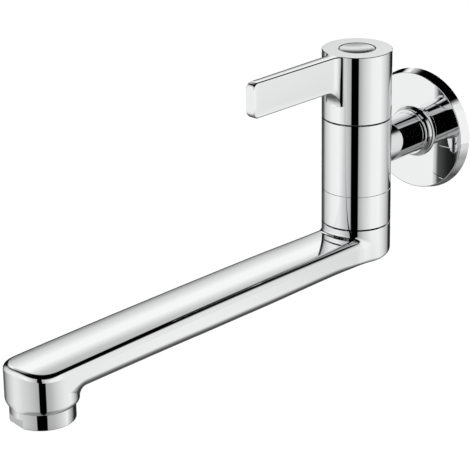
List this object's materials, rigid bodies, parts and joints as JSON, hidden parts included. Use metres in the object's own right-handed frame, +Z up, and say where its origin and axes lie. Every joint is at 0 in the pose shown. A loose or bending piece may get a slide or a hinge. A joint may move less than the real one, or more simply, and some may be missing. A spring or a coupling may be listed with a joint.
{
  "type": "wall-mounted kitchen tap",
  "caption": "Wall-mounted kitchen tap for one supply: a round upright body on a wall flange, a flat blade handle on top, and a long swivel spout with an aerator below.",
  "frame": {"origin": "the point where the inlet's axis meets the wall's surface, in the middle of the flange's back rim", "axes": "+Y along the inlet into the wall, +Z up along the axis that the handle and the spout turn about, +X to the right of someone who faces the tap; the spout and the handle point to -Y at rest"},
  "size_m": [0.0628, 0.2998, 0.1178],
  "materials": {
    "chrome_plate": "polished chrome plate on brass",
    "plain_brass": "turned",
    "spring_steel": "bright",
    "screen_steel": "fine mesh",
    "black_rubber": "smooth",
    "white_acetal": "moulded",
    "white_ceramic": "lapped alumina"
  },
  "bodies": {
    "tap_body": {"valve_body": "chrome_plate", "wall_flange": "chrome_plate", "flange_seal_ring": "black_rubber", "headwork_housing": "plain_brass", "headwork_gasket": "black_rubber", "seat_seal": "black_rubber", "fixed_disc": "white_ceramic", "spindle_slip_washer": "white_acetal", "handle_guide_ring": "white_acetal", "swivel_nut": "chrome_plate", "upper_slip_washer": "white_acetal", "lower_slip_bush": "white_acetal"},
    "handle": {"handle": "chrome_plate", "handle_screw": "spring_steel", "handle_cap": "chrome_plate", "spindle": "plain_brass", "spindle_clip": "spring_steel", "spindle_rings": "black_rubber", "moving_disc": "white_ceramic"},
    "spout": {"spout": "chrome_plate", "spout_tail": "plain_brass", "tail_rings": "black_rubber", "split_ring": "plain_brass", "aerator_housing": "chrome_plate", "aerator_washer": "black_rubber", "aerator_core": "white_acetal", "aerator_screens": "screen_steel"}
  },
  "joints": [
    {"name": "handle_turn", "type": "hinge", "parent": "tap_body", "child": "handle", "pos_m": [0, -0.05155, 0], "axis": [0, 0, 1], "range_deg": [0, 90]},
    {"name": "spout_swivel", "type": "hinge", "parent": "tap_body", "child": "spout", "pos_m": [0, -0.05155, 0], "axis": [0, 0, 1], "range_deg": [-95, 95]}
  ]
}
